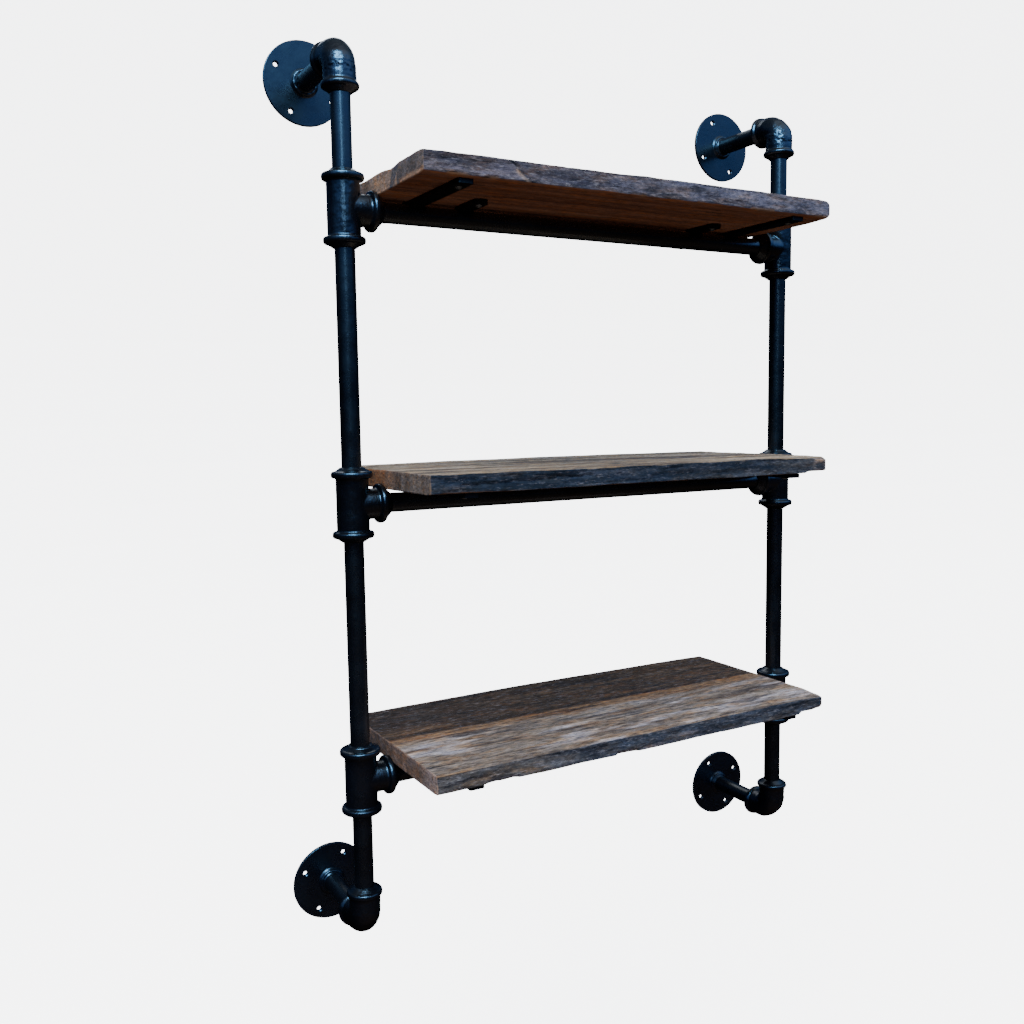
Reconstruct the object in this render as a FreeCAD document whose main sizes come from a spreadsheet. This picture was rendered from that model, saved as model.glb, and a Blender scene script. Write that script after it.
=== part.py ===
import FreeCAD, Part
import math
import os
import re

import Sketcher

# Industrial wall shelf: two black pipe uprights stand off the wall on four flanges,
# three pipe rails join them, and each rail carries a reclaimed two-board shelf.
# Frame: +Z up, X along the shelves, the wall is the plane Y = 0 and the shelf
# reaches towards -Y. The origin lies on the wall, midway between the four flanges.
# All sizes are millimetres.

SIZES = [
    # alias, value, meaning
    ("pipe_diameter", 26.9, "outside of every pipe, 3/4 inch nominal"),
    ("pipe_bore", 21.6, "inside of every pipe"),
    ("upright_spacing", 769, "axis to axis of the two uprights"),
    ("stand_off", 147, "wall to the plane of the uprights"),
    ("elbow_height", 587, "elbow axes above and below the origin"),
    ("upper_rail_height", 388, "axis of the top rail"),
    ("middle_rail_height", 0, "axis of the middle rail"),
    ("lower_rail_height", -382, "axis of the bottom rail"),
    ("flange_diameter", 117, "wall plate"),
    ("flange_thickness", 5, "wall plate"),
    ("flange_weld", 7, "leg of the fillet weld round the stand-off pipe"),
    ("bolt_circle", 90, "pitch circle of the wall screws"),
    ("bolt_hole", 6.5, "wall screw clearance hole"),
    ("bolt_sink", 1.5, "depth and width of the countersink of a wall screw hole"),
    ("bolt_angle", 27, "first hole of a right flange above horizontal, mirrored on the left"),
    ("fitting_bore", 37, "inside of the tees and elbows"),
    ("tee_body", 44, "outside of the tee barrel"),
    ("tee_bead", 56, "reinforcing bead at the ends of the tee run"),
    ("tee_half_run", 45, "tee centre to each end of its run"),
    ("branch_bead", 54, "bead at the end of the tee branch"),
    ("branch_reach", 43, "tee centre to the end of the branch"),
    ("elbow_body", 43.5, "outside of the elbow barrel"),
    ("elbow_bead", 50, "bead at the elbow ends"),
    ("elbow_reach", 47.5, "elbow centre to the end on the upright"),
    ("elbow_wall_reach", 45, "elbow centre to the end on the stand-off"),
    ("elbow_bend", 23, "centre-line radius of the elbow"),
    ("bead_width", 9, "length of every bead along its pipe"),
    ("bead_round", 3, "rounding of every bead"),
    ("socket_depth", 14, "pipe inside its bush"),
    ("bush_lip", 2, "stop at the bottom of the bush"),
    ("tee_shoulder", 47, "foot of the cone outside a tee"),
    ("elbow_shoulder", 43, "foot of the cone outside an elbow"),
    ("run_cone", 6, "cone length on the uprights and stand-offs"),
    ("branch_cone", 10, "cone length on the rails"),
    ("cone_tip", 0.8, "wall of the cone at its thin end"),
    ("arm_spacing", 560, "between the two shelf arms of a rail"),
    ("arm_width", 22, "flat bar"),
    ("arm_thickness", 6, "flat bar"),
    ("arm_rear", 10, "wall to the rear end of an arm"),
    ("arm_front", 296, "wall to the front end of an arm"),
    ("arm_corner", 3, "corner radius of an arm"),
    ("lug_spacing", 412, "between the two lugs of a rail"),
    ("lug_front", 201, "wall to the round front end of a lug"),
    ("lug_rear", 136, "wall to the rear end of a lug"),
    ("front_screw", 274, "wall to the front screw of an arm"),
    ("rear_screw", 34, "wall to the rear screw of an arm"),
    ("lug_screw", 187, "wall to the screw of a lug"),
    ("screw_shank", 4, "wood screw"),
    ("screw_clearance", 4.6, "hole in an arm or lug"),
    ("screw_head", 9, "wood screw"),
    ("screw_head_height", 3, "wood screw"),
    ("screw_grip", 17, "screw inside the board"),
    ("shelf_length", 684, "along the rail"),
    ("shelf_rear", 1, "gap between the shelf and the wall"),
    ("shelf_front", 305, "wall to the front edge"),
    ("board_thickness", 25.5, "shelf boards"),
    ("board_corner", 10, "worn corner at the right front"),
    ("board_edge", 1.5, "broken edge along the front"),
    ("top_seam", 216, "wall to the glued joint of the top shelf"),
    ("middle_seam", 160, "wall to the glued joint of the middle shelf"),
    ("bottom_seam", 142, "wall to the glued joint of the bottom shelf"),
]

LEVELS = [
    # name, spreadsheet word of the rail height, spreadsheet word of the seam
    ("top", "upper_rail_height", "top_seam"),
    ("middle", "middle_rail_height", "middle_seam"),
    ("bottom", "lower_rail_height", "bottom_seam"),
]

SIDES = [("left", -1), ("right", 1)]
ENDS = [("upper", 1), ("lower", -1)]

doc = FreeCAD.newDocument("WallShelf")
sheet = doc.addObject("Spreadsheet::Sheet", "Sizes")
for row, (alias, value, meaning) in enumerate(SIZES, start=1):
    sheet.set("A%d" % row, meaning)
    sheet.set("B%d" % row, str(value))
    sheet.setAlias("B%d" % row, alias)
doc.recompute()

ALIASES = {alias for alias, value, meaning in SIZES}
kept = []


# ---------------------------------------------------------------- helpers


def size(alias):
    """A driving dimension as a number."""
    return float(getattr(sheet, alias))


def formula(text):
    """Turn the spreadsheet words of a formula into references to the sheet."""

    def refer(match):
        word = match.group(0)
        return "Sizes." + word if word in ALIASES else word

    return re.sub(r"[a-z_]+", refer, text)


def bind(thing, field, text):
    thing.setExpression(field, formula(text))


def place(thing, x, y, z, axis=(0, 0, 1), angle=0):
    """Turn a piece, then tie its position to the sheet."""
    turn = FreeCAD.Rotation(FreeCAD.Vector(*axis), angle)
    thing.Placement = FreeCAD.Placement(FreeCAD.Vector(0, 0, 0), turn)
    for field, text in (("x", x), ("y", y), ("z", z)):
        bind(thing, "Placement.Base." + field, text)


def new_body(name):
    body = doc.addObject("PartDesign::Body", name)
    body.Label = name
    return body


def origin_feature(body, role):
    for feature in body.Origin.OriginFeatures:
        if feature.Role == role:
            return feature
    raise ValueError("no origin feature " + role)


def new_sketch(body, name, plane):
    sketch = body.newObject("Sketcher::SketchObject", body.Name + "_" + name)
    sketch.AttachmentSupport = [(origin_feature(body, plane), "")]
    sketch.MapMode = "FlatFace"
    return sketch


def fix_distance(sketch, kind, geometry, point, text):
    """Hold one coordinate of a sketch point at a formula; kind is DistanceX or DistanceY."""
    here = sketch.getPoint(geometry, point)
    start = here.x if kind == "DistanceX" else here.y
    index = sketch.addConstraint(Sketcher.Constraint(kind, -1, 1, geometry, point, start))
    bind(sketch, "Constraints[%d]" % index, text)


def fix_point(sketch, geometry, point, across, up):
    """Hold one point of a sketch at a place given by two formulas."""
    fix_distance(sketch, "DistanceX", geometry, point, across)
    fix_distance(sketch, "DistanceY", geometry, point, up)


def add_outline(sketch, corners):
    """A closed outline of straight runs through corners given as formulas."""
    count = len(corners)
    first = sketch.GeometryCount
    ring = []
    for index in range(count):
        turn = 2 * math.pi * index / count
        ring.append(FreeCAD.Vector(20 * math.cos(turn), 20 * math.sin(turn), 0))
    for index in range(count):
        line = Part.LineSegment(ring[index], ring[(index + 1) % count])
        sketch.addGeometry(line, False)
    for index in range(count):
        following = first + (index + 1) % count
        sketch.addConstraint(Sketcher.Constraint("Coincident", first + index, 2, following, 1))
    for index, (across, up) in enumerate(corners):
        fix_point(sketch, first + index, 1, across, up)


def add_circle(sketch, across, up, radius):
    circle = Part.Circle(FreeCAD.Vector(0, 0, 0), FreeCAD.Vector(0, 0, 1), 5)
    geometry = sketch.addGeometry(circle, False)
    index = sketch.addConstraint(Sketcher.Constraint("Radius", geometry, 5.0))
    bind(sketch, "Constraints[%d]" % index, radius)
    fix_point(sketch, geometry, 3, across, up)


def revolve(body, name, plane, corners, axis):
    """Spin an outline round the sketch's own vertical or horizontal axis."""
    sketch = new_sketch(body, name + "_outline", plane)
    add_outline(sketch, corners)
    feature = body.newObject("PartDesign::Revolution", body.Name + "_" + name)
    feature.Profile = sketch
    feature.ReferenceAxis = (sketch, [axis])
    feature.Angle = 360
    return feature


def extrude(body, sketch, kind, name, length, reverse=False, both_ways=False):
    """Pad or pocket a sketch by a length given as a formula."""
    feature = body.newObject("PartDesign::" + kind, body.Name + "_" + name)
    feature.Profile = sketch
    feature.Reversed = reverse
    if both_ways:
        feature.SideType = "Symmetric"
    bind(feature, "Length", length)
    return feature


def cut_round(body, name, plane, places, radius, length, reverse=False, both_ways=False):
    """Pocket one or more round holes and make sure that metal or wood was removed."""
    doc.recompute()
    before = body.Shape.Volume
    sketch = new_sketch(body, name + "_circle", plane)
    for across, up in places:
        add_circle(sketch, across, up, radius)
    feature = extrude(body, sketch, "Pocket", name, length, reverse, both_ways)
    doc.recompute()
    if not body.Shape.Volume < before - 1:
        raise ValueError(feature.Name + " removed nothing")
    return feature


def soften(body, kind, name, radius, chosen):
    """Fillet or chamfer the edges that a test picks from the finished shape."""
    doc.recompute()
    base = body.Tip
    edges = ["Edge%d" % (index + 1) for index, edge in enumerate(base.Shape.Edges) if chosen(edge)]
    if not edges:
        raise ValueError("no edges for " + name)
    feature = body.newObject("PartDesign::" + kind, body.Name + "_" + name)
    feature.Base = (base, edges)
    bind(feature, "Size" if kind == "Chamfer" else "Radius", radius)
    return feature


def is_ring(edge, radius):
    """True for a full circle of about this radius."""
    if edge.Degenerated or not isinstance(edge.Curve, Part.Circle):
        return False
    full = edge.Length > 1.99 * math.pi * edge.Curve.Radius
    return full and abs(edge.Curve.Radius - radius) < 0.01


def keep(piece):
    kept.append(piece)
    return piece


def group(name, pieces):
    """Identical small pieces that share one node, as separate solids."""
    compound = doc.addObject("Part::Compound", name)
    compound.Label = name
    compound.Links = pieces
    return compound


# ---------------------------------------------------------------- pipes


def make_pipe(name, plane, length, both_ways=False, reverse=False):
    body = new_body(name)
    sketch = new_sketch(body, "section", plane)
    add_circle(sketch, "0", "0", "pipe_diameter / 2")
    add_circle(sketch, "0", "0", "pipe_bore / 2")
    extrude(body, sketch, "Pad", "tube", length, reverse, both_ways)
    return keep(body)


def make_uprights(side, sign):
    """Four lengths of pipe between the fittings of one upright, from the top down."""
    across = "%d * upright_spacing / 2" % sign
    in_tee = "(tee_half_run - socket_depth)"
    in_elbow = "(elbow_reach - socket_depth)"
    stops = [
        ("elbow_height", in_elbow),
        ("upper_rail_height", in_tee),
        ("middle_rail_height", in_tee),
        ("lower_rail_height", in_tee),
        ("-elbow_height", in_elbow),
    ]
    names = ["top", "upper", "lower", "bottom"]
    for name, above, below in zip(names, stops, stops[1:]):
        foot = "%s + %s" % below
        head = "%s - %s" % above
        pipe = make_pipe("upright_pipe_%s_%s" % (name, side), "XY_Plane", "%s - (%s)" % (head, foot))
        place(pipe, across, "-stand_off", foot)


def make_rail(level, height):
    length = "upright_spacing - 2 * (branch_reach - socket_depth)"
    rail = make_pipe("rail_pipe_" + level, "YZ_Plane", length, both_ways=True)
    place(rail, "0", "-stand_off", height)


def make_stand_off(end, side, across, height):
    length = "stand_off - (elbow_wall_reach - socket_depth)"
    pipe = make_pipe("stand_off_pipe_%s_%s" % (end, side), "XZ_Plane", length)
    place(pipe, across, "0", height)


# ---------------------------------------------------------------- fittings


def make_flange(end, side, sign, across, height):
    """Round wall plate with four countersunk screw holes and a fillet weld round the pipe."""
    body = new_body("wall_flange_%s_%s" % (end, side))
    outline = [
        ("pipe_diameter / 2", "0"),
        ("flange_diameter / 2", "0"),
        ("flange_diameter / 2", "-flange_thickness"),
        ("pipe_diameter / 2 + flange_weld", "-flange_thickness"),
        ("pipe_diameter / 2", "-flange_thickness - flange_weld"),
    ]
    revolve(body, "plate", "XY_Plane", outline, "V_Axis")
    spot = [("bolt_circle / 2", "0")]
    hole = cut_round(body, "hole", "XZ_Plane", spot, "bolt_hole / 2", "4 * flange_thickness", both_ways=True)
    pattern = body.newObject("PartDesign::PolarPattern", body.Name + "_holes")
    pattern.Originals = [hole]
    pattern.Axis = (origin_feature(body, "Y_Axis"), [""])
    pattern.Angle = 360
    pattern.Occurrences = 4
    body.Tip = pattern
    middle = -size("flange_thickness") / 2
    hole_radius = size("bolt_hole") / 2

    def front_of_hole(edge):
        return is_ring(edge, hole_radius) and edge.Curve.Center.y < middle

    soften(body, "Chamfer", "countersinks", "bolt_sink", front_of_hole)
    rim = size("flange_diameter") / 2
    soften(body, "Fillet", "rim", "flange_thickness / 5", lambda edge: is_ring(edge, rim))
    angle = size("bolt_angle") if sign > 0 else 180 - size("bolt_angle")
    place(body, across, "0", height, axis=(0, -1, 0), angle=angle)
    return keep(body)


def round_beads(body, name, diameters):
    """Round the outer edges of the beads, which are rings of the bead diameters."""
    radii = [size(diameter) / 2 for diameter in diameters]
    soften(body, "Fillet", name, "bead_round", lambda edge: any(is_ring(edge, radius) for radius in radii))


def make_tee(level, side, sign, height):
    """Malleable tee: the run stands upright and the branch points along +X."""
    body = new_body("tee_%s_%s" % (level, side))
    run = [
        ("0", "-tee_half_run"),
        ("tee_bead / 2", "-tee_half_run"),
        ("tee_bead / 2", "-tee_half_run + bead_width"),
        ("tee_body / 2", "-tee_half_run + bead_width"),
        ("tee_body / 2", "tee_half_run - bead_width"),
        ("tee_bead / 2", "tee_half_run - bead_width"),
        ("tee_bead / 2", "tee_half_run"),
        ("0", "tee_half_run"),
    ]
    revolve(body, "run", "XZ_Plane", run, "V_Axis")
    branch = [
        ("0", "0"),
        ("branch_reach", "0"),
        ("branch_reach", "branch_bead / 2"),
        ("branch_reach - bead_width", "branch_bead / 2"),
        ("branch_reach - bead_width", "tee_body / 2 - 1"),
        ("0", "tee_body / 2 - 1"),
    ]
    revolve(body, "branch", "XZ_Plane", branch, "H_Axis")
    round_beads(body, "bead_rounding", ["tee_bead", "branch_bead"])
    centre = [("0", "0")]
    cut_round(body, "run_bore", "XY_Plane", centre, "fitting_bore / 2", "3 * tee_half_run", both_ways=True)
    cut_round(body, "branch_bore", "YZ_Plane", centre, "fitting_bore / 2", "branch_reach + 1", reverse=True)
    across = "%d * upright_spacing / 2" % sign
    place(body, across, "-stand_off", height, angle=0 if sign < 0 else 180)
    return keep(body)


def make_elbow(end, side, turned, across, height):
    """Malleable elbow: one leg points down and the other to the wall."""
    body = new_body("elbow_%s_%s" % (end, side))
    path = new_sketch(body, "path", "YZ_Plane")
    bend = size("elbow_bend")
    down_reach = size("elbow_reach")
    wall_reach = size("elbow_wall_reach")
    corner = FreeCAD.Vector(bend, -bend, 0)
    arc = Part.ArcOfCircle(Part.Circle(corner, FreeCAD.Vector(0, 0, 1), bend), math.pi / 2, math.pi)
    foot = FreeCAD.Vector(0, -down_reach, 0)
    path.addGeometry(Part.LineSegment(foot, FreeCAD.Vector(0, -bend, 0)), False)
    path.addGeometry(arc, False)
    path.addGeometry(Part.LineSegment(FreeCAD.Vector(bend, 0, 0), FreeCAD.Vector(wall_reach, 0, 0)), False)
    path.addConstraint(Sketcher.Constraint("Coincident", 0, 2, 1, 2))
    path.addConstraint(Sketcher.Constraint("Coincident", 1, 1, 2, 1))
    fix_point(path, 0, 1, "0", "-elbow_reach")
    fix_point(path, 1, 3, "elbow_bend", "-elbow_bend")
    fix_point(path, 1, 1, "elbow_bend", "0")
    fix_distance(path, "DistanceY", 1, 2, "-elbow_bend")
    fix_point(path, 2, 2, "elbow_wall_reach", "0")

    def sweep(kind, name, radius):
        section = new_sketch(body, name + "_section", "XY_Plane")
        bind(section, "AttachmentOffset.Base.z", "-elbow_reach")
        add_circle(section, "0", "0", radius)
        feature = body.newObject("PartDesign::" + kind, body.Name + "_" + name)
        feature.Profile = section
        feature.Spine = (path, ["Edge1", "Edge2", "Edge3"])
        return feature

    sweep("AdditivePipe", "barrel", "elbow_body / 2")
    down_bead = [
        ("0", "-elbow_reach"),
        ("elbow_bead / 2", "-elbow_reach"),
        ("elbow_bead / 2", "-elbow_reach + bead_width"),
        ("0", "-elbow_reach + bead_width"),
    ]
    revolve(body, "down_bead", "YZ_Plane", down_bead, "V_Axis")
    wall_bead = [
        ("elbow_wall_reach", "0"),
        ("elbow_wall_reach", "elbow_bead / 2"),
        ("elbow_wall_reach - bead_width", "elbow_bead / 2"),
        ("elbow_wall_reach - bead_width", "0"),
    ]
    revolve(body, "wall_bead", "YZ_Plane", wall_bead, "H_Axis")
    round_beads(body, "bead_rounding", ["elbow_bead"])
    doc.recompute()
    before = body.Shape.Volume
    sweep("SubtractivePipe", "bore", "fitting_bore / 2")
    doc.recompute()
    if not body.Shape.Volume < before - 1:
        raise ValueError(body.Name + " bore removed nothing")
    place(body, across, "-stand_off", height, axis=(0, 1, 0), angle=180 if turned else 0)
    return keep(body)


# ---------------------------------------------------------------- reducing bushes


def make_bush(name, cone, shoulder):
    """Reducing bush: plug inside the fitting, pipe stop, and a cone outside.

    Its mouth faces +Z, and Z = 0 is the end face of the fitting.
    """
    body = new_body(name)
    outline = [
        ("pipe_bore / 2", "-socket_depth - bush_lip"),
        ("fitting_bore / 2", "-socket_depth - bush_lip"),
        ("fitting_bore / 2", "0"),
        (shoulder + " / 2", "0"),
        ("pipe_diameter / 2 + cone_tip", cone),
        ("pipe_diameter / 2", cone),
        ("pipe_diameter / 2", "-socket_depth"),
        ("pipe_bore / 2", "-socket_depth"),
    ]
    revolve(body, "plug", "XZ_Plane", outline, "V_Axis")
    return body


def make_tee_bushes(level, side, sign, height):
    name = "tee_bushes_%s_%s" % (level, side)
    over = make_bush(name + "_over", "run_cone", "tee_shoulder")
    place(over, "0", "0", "tee_half_run")
    under = make_bush(name + "_under", "run_cone", "tee_shoulder")
    place(under, "0", "0", "-tee_half_run", axis=(1, 0, 0), angle=180)
    inward = make_bush(name + "_inward", "branch_cone", "tee_shoulder")
    place(inward, "branch_reach", "0", "0", axis=(0, 1, 0), angle=90)
    bushes = group(name, [over, under, inward])
    across = "%d * upright_spacing / 2" % sign
    place(bushes, across, "-stand_off", height, angle=0 if sign < 0 else 180)
    return keep(bushes)


def make_elbow_bushes(end, side, turned, across, height):
    name = "elbow_bushes_%s_%s" % (end, side)
    down = make_bush(name + "_down", "run_cone", "elbow_shoulder")
    place(down, "0", "0", "-elbow_reach", axis=(1, 0, 0), angle=180)
    wall = make_bush(name + "_wall", "run_cone", "elbow_shoulder")
    place(wall, "0", "elbow_wall_reach", "0", axis=(1, 0, 0), angle=-90)
    bushes = group(name, [down, wall])
    place(bushes, across, "-stand_off", height, axis=(0, 1, 0), angle=180 if turned else 0)
    return keep(bushes)


# ---------------------------------------------------------------- shelf brackets


def make_bar(name, across, height, rear, front, screws, corner, chosen):
    """Flat bar welded on top of the rail, with screw holes up into the boards."""
    body = new_body(name)
    sketch = new_sketch(body, "outline", "XY_Plane")
    corners = [
        ("-arm_width / 2", "-" + rear),
        ("arm_width / 2", "-" + rear),
        ("arm_width / 2", "-" + front),
        ("-arm_width / 2", "-" + front),
    ]
    add_outline(sketch, corners)
    extrude(body, sketch, "Pad", "bar", "arm_thickness")
    holes = [("0", "-" + screw) for screw in screws]
    cut_round(body, "holes", "XY_Plane", holes, "screw_clearance / 2", "3 * arm_thickness", both_ways=True)

    def upright_corner(edge):
        upright = abs(edge.Vertexes[0].Z - edge.Vertexes[-1].Z) > 1
        return upright and isinstance(edge.Curve, Part.Line) and chosen(edge)

    soften(body, "Fillet", "corners", corner, upright_corner)
    place(body, across, "0", height + " + pipe_diameter / 2")
    return keep(body)


def make_brackets(level, height):
    """Two long arms and two short lugs on one rail."""
    rail_line = -size("stand_off")
    for side, sign in SIDES:
        arm = "shelf_arm_%s_%s" % (level, side)
        across = "%d * arm_spacing / 2" % sign
        screws = ["rear_screw", "front_screw"]
        make_bar(arm, across, height, "arm_rear", "arm_front", screws, "arm_corner", lambda edge: True)
        lug = "shelf_lug_%s_%s" % (level, side)
        across = "%d * lug_spacing / 2" % sign
        make_bar(
            lug, across, height, "lug_rear", "lug_front", ["lug_screw"], "arm_width / 2 - 0.2",
            lambda edge: edge.Vertexes[0].Y < rail_line,
        )


def screw_spots():
    """Formulas for the six screws of a shelf."""
    spots = []
    for sign in (-1, 1):
        spots.append(("%d * arm_spacing / 2" % sign, "-front_screw"))
        spots.append(("%d * arm_spacing / 2" % sign, "-rear_screw"))
        spots.append(("%d * lug_spacing / 2" % sign, "-lug_screw"))
    return spots


def make_screws(level, height):
    """Six wood screws, driven up through the arms and lugs into the boards."""
    name = "wood_screws_" + level
    screws = []
    for index, (across, along) in enumerate(screw_spots(), start=1):
        body = new_body("%s_%d" % (name, index))
        outline = [
            ("0", "-screw_head_height"),
            ("screw_head * 0.3", "-screw_head_height"),
            ("screw_head / 2", "-screw_head_height * 0.35"),
            ("screw_head / 2", "0"),
            ("screw_shank / 2", "0"),
            ("screw_shank / 2", "arm_thickness + screw_grip - screw_shank"),
            ("0", "arm_thickness + screw_grip"),
        ]
        revolve(body, "screw", "XZ_Plane", outline, "V_Axis")
        place(body, across, along, "0")
        screws.append(body)
    compound = group(name, screws)
    place(compound, "0", "0", height + " + pipe_diameter / 2")
    return keep(compound)


# ---------------------------------------------------------------- boards


def make_board(level, name, height, rear, front, is_front, spots):
    """One reclaimed board, with pilot holes for its screws underneath."""
    body = new_body("shelf_board_%s_%s" % (level, name))
    sketch = new_sketch(body, "outline", "XY_Plane")
    corners = [
        ("-shelf_length / 2", "-" + rear),
        ("shelf_length / 2", "-" + rear),
        ("shelf_length / 2", "-" + front),
        ("-shelf_length / 2", "-" + front),
    ]
    add_outline(sketch, corners)
    extrude(body, sketch, "Pad", "plank", "board_thickness")
    cut_round(body, "pilots", "XY_Plane", spots, "screw_shank / 2", "screw_grip", reverse=True)
    if is_front:
        half = size("shelf_length") / 2
        edge_line = -size("shelf_front")

        def right_front(edge):
            ends = edge.Vertexes
            upright = abs(ends[0].Z - ends[-1].Z) > 1
            return upright and ends[0].X > half - 1 and ends[0].Y < edge_line + 1

        def along_front(edge):
            ends = edge.Vertexes
            lengthways = abs(ends[0].X - ends[-1].X) > half
            return lengthways and ends[0].Y < edge_line + 1 and ends[-1].Y < edge_line + 1

        soften(body, "Fillet", "worn_corner", "board_corner", right_front)
        soften(body, "Chamfer", "broken_edge", "board_edge", along_front)
    place(body, "0", "0", height + " + pipe_diameter / 2 + arm_thickness")
    return keep(body)


def make_shelf(level, height, seam):
    """Rear and front boards, glued edge to edge."""
    seam_line = size(seam)
    rear_spots = []
    front_spots = []
    for across, along in screw_spots():
        distance = size(along.lstrip("-"))
        chosen = front_spots if distance > seam_line else rear_spots
        chosen.append((across, along))
    make_board(level, "rear", height, "shelf_rear", seam, False, rear_spots)
    make_board(level, "front", height, seam, "shelf_front", True, front_spots)


# ---------------------------------------------------------------- the assembly


for side, sign in SIDES:
    across = "%d * upright_spacing / 2" % sign
    for end, up in ENDS:
        height = "%d * elbow_height" % up
        turned = up < 0
        make_flange(end, side, sign, across, height)
        make_stand_off(end, side, across, height)
        make_elbow(end, side, turned, across, height)
        make_elbow_bushes(end, side, turned, across, height)
    make_uprights(side, sign)

for level, height, seam in LEVELS:
    for side, sign in SIDES:
        make_tee(level, side, sign, height)
        make_tee_bushes(level, side, sign, height)
    make_rail(level, height)
    make_brackets(level, height)
    make_screws(level, height)
    make_shelf(level, height, seam)

doc.recompute()


# ---------------------------------------------------------------- checks and export


for thing in doc.Objects:
    for state in thing.State:
        if state in ("Invalid", "Error"):
            raise ValueError("%s is %s" % (thing.Name, state))

for piece in kept:
    if piece.Shape.isNull() or not piece.Shape.isValid() or piece.Shape.Volume <= 0:
        raise ValueError(piece.Label + " has no valid shape")

os.makedirs("parts", exist_ok=True)
for piece in kept:
    piece.Shape.exportStep("parts/%s.step" % piece.Label)
print("%d pieces written" % len(kept))
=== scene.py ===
import math

import bmesh
import bpy
import numpy as np
from mathutils import Matrix, Vector


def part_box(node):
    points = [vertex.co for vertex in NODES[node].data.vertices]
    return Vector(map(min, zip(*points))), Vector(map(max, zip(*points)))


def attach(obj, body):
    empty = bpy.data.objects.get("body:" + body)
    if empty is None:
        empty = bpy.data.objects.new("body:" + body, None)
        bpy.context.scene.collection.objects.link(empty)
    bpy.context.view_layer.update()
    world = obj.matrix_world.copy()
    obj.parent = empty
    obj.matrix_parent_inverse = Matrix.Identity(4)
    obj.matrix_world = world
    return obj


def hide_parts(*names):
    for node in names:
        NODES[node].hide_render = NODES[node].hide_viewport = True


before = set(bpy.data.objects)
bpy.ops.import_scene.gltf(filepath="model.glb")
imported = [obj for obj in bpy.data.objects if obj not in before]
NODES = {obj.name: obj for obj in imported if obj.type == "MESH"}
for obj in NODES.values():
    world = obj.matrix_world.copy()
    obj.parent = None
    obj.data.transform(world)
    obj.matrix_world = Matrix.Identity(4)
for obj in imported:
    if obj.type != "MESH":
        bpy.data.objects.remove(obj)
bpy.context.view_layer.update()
LEVELS = ("top", "middle", "bottom")
SIDES = ("left", "right")
ENDS = ("upper", "lower")
MM = 0.001


# ---------------------------------------------------------------- seeded noise


WORD = 0xFFFFFFFF
GRID_STEPS = (374761393, 668265263, 1440670441, 974634777)
MIXERS = (1274126177, 2246822519)
OCTAVE_SHIFT = 17.3
# Sum of the sizes of three octaves; it serves for any number of them.
THREE_OCTAVES = 1.75


def lattice(i, j, k, seed):
    """A repeatable value from -1 to 1 for every whole-number grid point."""
    n = (i * GRID_STEPS[0] + j * GRID_STEPS[1] + k * GRID_STEPS[2] + seed * GRID_STEPS[3]) & WORD
    n = ((n ^ (n >> 13)) * MIXERS[0]) & WORD
    n = ((n ^ (n >> 15)) * MIXERS[1]) & WORD
    return ((n ^ (n >> 16)) & 0xFFFF) / 32767.5 - 1.0


def noise(points, seed):
    """Smooth value noise at an array of points."""
    cell = np.floor(points).astype(np.int64)
    part = points - cell
    blend = part * part * (3 - 2 * part)
    total = np.zeros(len(points))
    for corner in range(8):
        step = np.array([corner & 1, corner >> 1 & 1, corner >> 2 & 1])
        at = cell + step
        weight = np.prod(np.where(step, blend, 1 - blend), axis=1)
        total += weight * lattice(at[:, 0], at[:, 1], at[:, 2], seed)
    return total


def fractal(points, cells, seed, octaves=3):
    """Layered noise, about -1 to 1; cells is the number of cells per metre on each axis."""
    total = np.zeros(len(points))
    size = 1.0
    points = points * np.array(cells, float)
    for octave in range(octaves):
        total += size * noise(points * 2 ** octave + OCTAVE_SHIFT * octave, seed + octave)
        size *= 0.5
    return total / THREE_OCTAVES


def smooth(value, low, high):
    """0 below low, 1 above high, and an S curve between them."""
    t = np.clip((value - low) / (high - low), 0, 1)
    return t * t * (3 - 2 * t)


# ---------------------------------------------------------------- mesh helpers


def read_points(mesh):
    values = np.empty(len(mesh.vertices) * 3)
    mesh.vertices.foreach_get("co", values)
    return values.reshape(-1, 3)


def write_points(mesh, points):
    mesh.vertices.foreach_set("co", np.ascontiguousarray(points, float).ravel())
    mesh.update()


def read_normals(mesh):
    values = np.empty(len(mesh.vertices) * 3)
    mesh.vertices.foreach_get("normal", values)
    return values.reshape(-1, 3)


def mesh_from(name, points, faces):
    mesh = bpy.data.meshes.new(name)
    mesh.from_pydata([tuple(p) for p in points], [], [tuple(int(i) for i in f) for f in faces])
    mesh.update()
    return mesh


def link_object(name, data):
    """A new object in the scene that holds the given mesh, light or camera."""
    obj = bpy.data.objects.new(name, data)
    bpy.context.scene.collection.objects.link(obj)
    return obj


def piece(name, mesh, material, slot, *nodes):
    """A finished piece: smooth shaded, on the root body, standing for CAD nodes."""
    mesh.polygons.foreach_set("use_smooth", [True] * len(mesh.polygons))
    mesh.materials.clear()
    mesh.materials.append(material)
    obj = link_object(name, mesh)
    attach(obj, "root")
    if nodes:
        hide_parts(*nodes)
    return obj


def paint(mesh, name, colours):
    """Store a colour for every vertex; missing channels are 1."""
    layer = mesh.color_attributes.new(name, "FLOAT_COLOR", "POINT")
    rgba = np.ones((len(mesh.vertices), 4))
    rgba[:, :colours.shape[1]] = colours
    layer.data.foreach_set("color", rgba.ravel())


def middle_of(node):
    """Centre of a CAD node's box."""
    low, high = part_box(node)
    return (low[0] + high[0]) / 2, (low[1] + high[1]) / 2, (low[2] + high[2]) / 2


# ---------------------------------------------------------------- node helpers


# Sockets of a Mix node that mixes colours.
MIX_FACTOR, MIX_FIRST, MIX_SECOND, MIX_RESULT = 0, 6, 7, 2


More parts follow.
